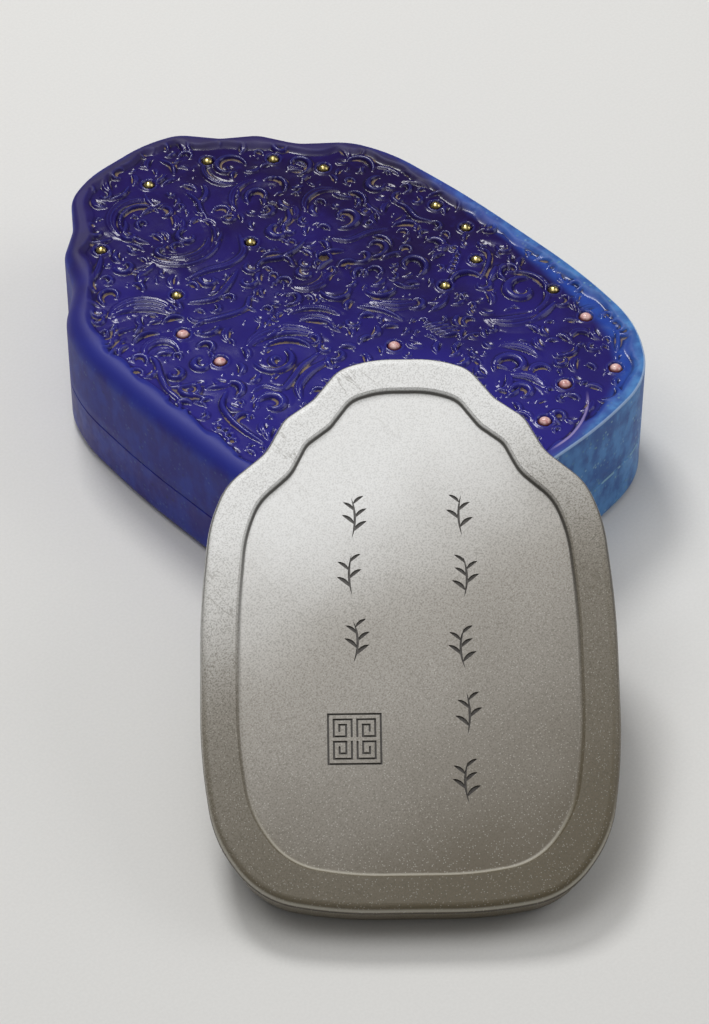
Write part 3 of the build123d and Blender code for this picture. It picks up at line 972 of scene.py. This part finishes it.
def ridge_highlight_share(shade):
    """Where the painted highlight along the ridge line runs, from 0 to 1."""
    center = (ridge_center[0] * mm, ridge_center[1] * mm, 0)
    reach = shade.node("ShaderNodeVectorMath", shade.scaled_place((1, 1, 0)), center,
                       operation="DISTANCE").outputs["Value"]
    off_ridge = shade.apart(reach, ridge_radius * mm)
    return shade.times(shade.ramp_mm(off_ridge, 0.5, 0.15, 0, 0.85),
                       shade.ramp_mm(shade.along((1, 0, 0)), 3, 10),
                       shade.ramp_mm(shade.along((0, -1, 0)), 70, 75))


def blue_stone(name, carved):
    """Polished violet stone, azure to the foot and right, flecked, with dust in its hollows,
    painted shade in them, painted sheen on the crests and a painted highlight along one ridge line.
    """
    shade = Shader(name)
    clouds = shade.noise(22, 4)
    fine = shade.noise(2.2, 5)
    drift = shade.times(shade.minus(clouds, 0.5), 70 * mm)
    azure_share = shade.ramp_mm(shade.plus(shade.along(foot_right_way), drift), -5, 75)
    color = wall_color(shade, fine, azure_share)
    rough = shade.ramp(fine, 0.3, 0.8, 0.38, 0.5)
    if carved:
        inset = shade.number("inset")
        hollow_here = shade.number("hollow")
        color, plain = panel_color(shade, color, clouds, fine, drift, inset)
        # Painted highlight along the ridge line near the foot right
        color = shade.mix(ridge_highlight_share(shade), color, ridge_highlight_lilac)
        # Painted sheen: a lighter blue on the crests of the carving
        color = shade.mix(shade.ramp(hollow_here, -0.08, -0.24, 0, 0.18), color, crest_sheen_blue)
        color = shade.mix(shade.ramp(hollow_here, 0.05, 0.24, 0, 0.7), color, hollow_shadow)
        dust = shade.times(shade.ramp(hollow_here, 0.19, 0.31),
                           shade.ramp(shade.noise(6.0, 3), 0.46, 0.58))
        color = shade.mix(shade.times(dust, 0.78), color, dust_tan)
        polish = shade.plus(shade.ramp(dust, 0, 1, 0.15, 0.7), shade.times(fine, 0.05))
        rough = shade.plus(polish, shade.times(plain, 0.36))
        arris = shade.times(shade.ramp(inset, 0.62, 0.36), shade.ramp(inset, 0.0, 0.04),
                            azure_share, 0.75)
        color = shade.mix(arris, color, arris_blue)
    shade.bump(shade.plus(shade.times(shade.noise(1.6, 2), 0.6),
                          shade.times(shade.noise(0.5, 2), 0.15)), 0.03)
    return shade.finish(color, rough, IOR=1.4)


def grey_stone():
    """Satin slate with scratches, with a painted sheen at its upper left and painted shade towards
    its lower right, where its own tone is dark olive.
    """
    shade = Shader("grey_stone")
    out = next(Vector(joint["axis"]) for joint in frame["joints"]
               if joint["name"] == "stone_lift").normalized()
    right = Vector((-out.y, out.x, 0)).normalized()
    head = out.cross(right)
    low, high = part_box("ink_stone")
    middle = (Vector(low) + Vector(high)) / 2
    stone = frame["nodes"]["ink_stone"]
    back = max(out.dot(stone.matrix_world @ vertex.co) for vertex in stone.data.vertices)
    across = shade.minus(shade.along(right), middle.dot(right))
    up = shade.minus(shade.along(head), middle.dot(head))
    depth = shade.minus(shade.along(out), back)

    # Painted light: palest, with a painted sheen, towards the upper left, and painted shade towards
    # the lower right
    drift = shade.times(shade.minus(shade.noise(34, 2), 0.5), 30 * mm)
    painted_lighting = shade.plus(shade.plus(shade.times(up, 0.90), shade.times(across, -0.42)), drift)
    color = shade.mix(shade.ramp_mm(painted_lighting, -70, 24), *grey_shaded_and_middle)
    painted_sheen = shade.ramp_mm(painted_lighting, 4, 55)
    color = shade.mix(painted_sheen, color, grey_sheen)
    # The rim is darker, most towards the lower right: its own darker tone with painted shade
    rim = shade.ramp_mm(depth, -1.2, -0.6)
    color = shade.mix(shade.times(rim, shade.ramp_mm(painted_lighting, 45, -10), 0.6), color, grey_rim_shade)

    speckle = shade.noise(0.4, 4)
    speckle_share = shade.times(shade.ramp(speckle, 0.42, 0.68),
                                shade.ramp(painted_sheen, 0, 1, 0.42, 0.2),
                                shade.ramp(rim, 0, 1, 1.0, 1.6))
    color = shade.mix(speckle_share, color, grey_speckle)
    flecks = shade.times(shade.ramp(shade.cells(0.7), 0.28, 0.10),
                         shade.ramp(rim, 0, 1, 0.36, 0.26))
    color = shade.mix(flecks, color, grey_fleck)

    # Floor of the cut ornament, then the step round the field, dark with a painted shadow at the
    # head, pale with a painted highlight at the foot
    cut = shade.times(shade.ramp_mm(depth, -1.52, -1.72), shade.ramp_mm(depth, -2.2, -2.0), 0.9)
    color = shade.mix(cut, color, grey_cut)
    step = shade.times(shade.ramp_mm(depth, -0.4, -0.9), shade.ramp_mm(depth, -1.38, -1.26))
    head_step_shadow = shade.times(step, shade.ramp_mm(up, -20, 40), 0.9)
    color = shade.mix(head_step_shadow, color, grey_step_shadow)
    foot_step_highlight = shade.times(step, shade.ramp_mm(up, -30, -50), 0.5)
    color = shade.mix(foot_step_highlight, color, grey_step_highlight)

    off_scratch = shade.apart(shade.noise(5, 4, (1, 0.12, 0.6)), 0.5)
    scratches = shade.times(shade.ramp(off_scratch, 0.0, 0.012, 1.0, 0.0),
                            shade.ramp(shade.noise(14, 2), 0.50, 0.62),
                            shade.ramp(rim, 0, 1, 0.2, 1.0))
    color = shade.mix(shade.times(scratches, 0.4), color, grey_scratch)
    grain = shade.plus(speckle, shade.times(shade.noise(0.22, 2), 0.6))
    shade.bump(shade.minus(grain, shade.times(scratches, 0.8)), 0.035)
    return shade.finish(color, shade.ramp(speckle, 0.3, 0.7, 0.38, 0.52), IOR=1.5)


def bead_foot(shade, low_mm, high_mm):
    """Rises from 0 to 1 from one depth below the top of the beads to the next."""
    level = shade.minus(shade.along((0, 0, 1)), bead_level * mm)
    return shade.ramp_mm(level, low_mm, high_mm)


def gold_metal():
    """Worn gilt brass: bright on the dome, brown towards its foot."""
    shade = Shader("gold_bead")
    color = shade.mix(bead_foot(shade, -0.35, -1.1), gilt, gilt_foot)
    color = shade.mix(shade.ramp(shade.noise(0.7, 2), 0.4, 0.7, 0, 0.7), color, gilt_tarnish)
    shade.bump(shade.noise(0.6, 2), 0.06)
    rough = shade.ramp(shade.noise(0.5, 2), 0.3, 0.7, 0.14, 0.32)
    return shade.finish(color, rough, Metallic=1.0)


def pink_glass():
    """Pale pink, glossy and a little cloudy, with a red-brown seat."""
    shade = Shader("pink_bead")
    color = shade.mix(shade.ramp(shade.noise(1.0, 3), 0.35, 0.7), *pinks)
    color = shade.mix(bead_foot(shade, -0.3, -0.95), color, pink_foot)
    shade.bump(shade.noise(0.9, 2), 0.05)
    return shade.finish(color, 0.12, IOR=1.5)


def floor_finish():
    """A plain pale matt floor with a faint fine grain."""
    shade = Shader("floor")
    color = shade.mix(shade.ramp(shade.noise(0.8, 2), 0.3, 0.7), *floor_tones)
    return shade.finish(color, 0.9)


lid = build_lid()
lid.data.materials.append(blue_stone("blue_stone_carved", True))
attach(lid, "lid")
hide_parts("case_lid")

finishes = {
    "case_base": blue_stone("blue_stone_plain", False),
    "ink_stone": grey_stone(),
    "gold_bead": gold_metal(),
    "pink_bead": pink_glass(),
}
for name, node in frame["nodes"].items():
    for start, finish in finishes.items():
        if name.startswith(start):
            for material_slot in node.material_slots:
                material_slot.material = finish

# Floor, light and camera
floor_half_m = 4.0
floor_corners = [(x * floor_half_m, y * floor_half_m, 0)
                 for x, y in ((-1, -1), (1, -1), (1, 1), (-1, 1))]
floor_mesh = bpy.data.meshes.new("floor")
floor_mesh.from_pydata(floor_corners, [], [(0, 1, 2, 3)])
floor_mesh.materials.append(floor_finish())
floor = bpy.data.objects.new("floor", floor_mesh)
bpy.context.scene.collection.objects.link(floor)


def softbox(name, place_m, target_m, size_m, watts):
    """A square lamp that faces a target."""
    light = bpy.data.lights.new(name, "AREA")
    light.size = size_m
    light.energy = watts
    lamp = bpy.data.objects.new(name, light)
    lamp.location = place_m
    facing = (Vector(target_m) - Vector(place_m)).to_track_quat("-Z", "Y")
    lamp.rotation_euler = facing.to_euler()
    bpy.context.scene.collection.objects.link(lamp)


softbox("key_behind", (0.22, 0.62, 1.1), (-0.02, -0.03, 0), 0.34, 7.2)
softbox("overhead", (-0.3, 0.1, 1.3), (-0.03, -0.03, 0), 0.8, 4.3)
softbox("fill_right", (0.9, -0.7, 0.8), (0, -0.03, 0), 0.8, 3.4)

# White surround, brighter overhead
low_height, full_height, low_strength, full_strength = 0.6, 0.98, 0.16, 0.5
world = bpy.data.worlds.new("studio")
bpy.context.scene.world = world
world.use_nodes = True
world_tree = world.node_tree
background = world_tree.nodes["Background"]
background.inputs["Color"].default_value = (1, 1, 1, 1)
way = world_tree.nodes.new("ShaderNodeTexCoord")
parts = world_tree.nodes.new("ShaderNodeSeparateXYZ")
rise = world_tree.nodes.new("ShaderNodeMapRange")
rise.interpolation_type = "SMOOTHSTEP"
for socket, value in zip(rise.inputs[1:5], (low_height, full_height, low_strength, full_strength)):
    socket.default_value = value
world_tree.links.new(way.outputs["Generated"], parts.inputs[0])
world_tree.links.new(parts.outputs["Z"], rise.inputs[0])
world_tree.links.new(rise.outputs[0], background.inputs["Strength"])

camera_azimuth = math.radians(-43.6)
camera_elevation = math.radians(45.2)
camera_distance_m = 1.005
camera_target_m = Vector((-0.02115, -0.03454, 0))
camera_data = bpy.data.cameras.new("camera")
camera_data.lens = 133.6
camera = bpy.data.objects.new("camera", camera_data)
away = Vector((math.sin(camera_azimuth) * math.cos(camera_elevation),
               -math.cos(camera_azimuth) * math.cos(camera_elevation),
               math.sin(camera_elevation)))
camera.location = camera_target_m + away * camera_distance_m
camera.rotation_euler = away.to_track_quat("Z", "Y").to_euler()
bpy.context.scene.collection.objects.link(camera)
bpy.context.scene.camera = camera
bpy.context.scene.view_settings.view_transform = "Standard"
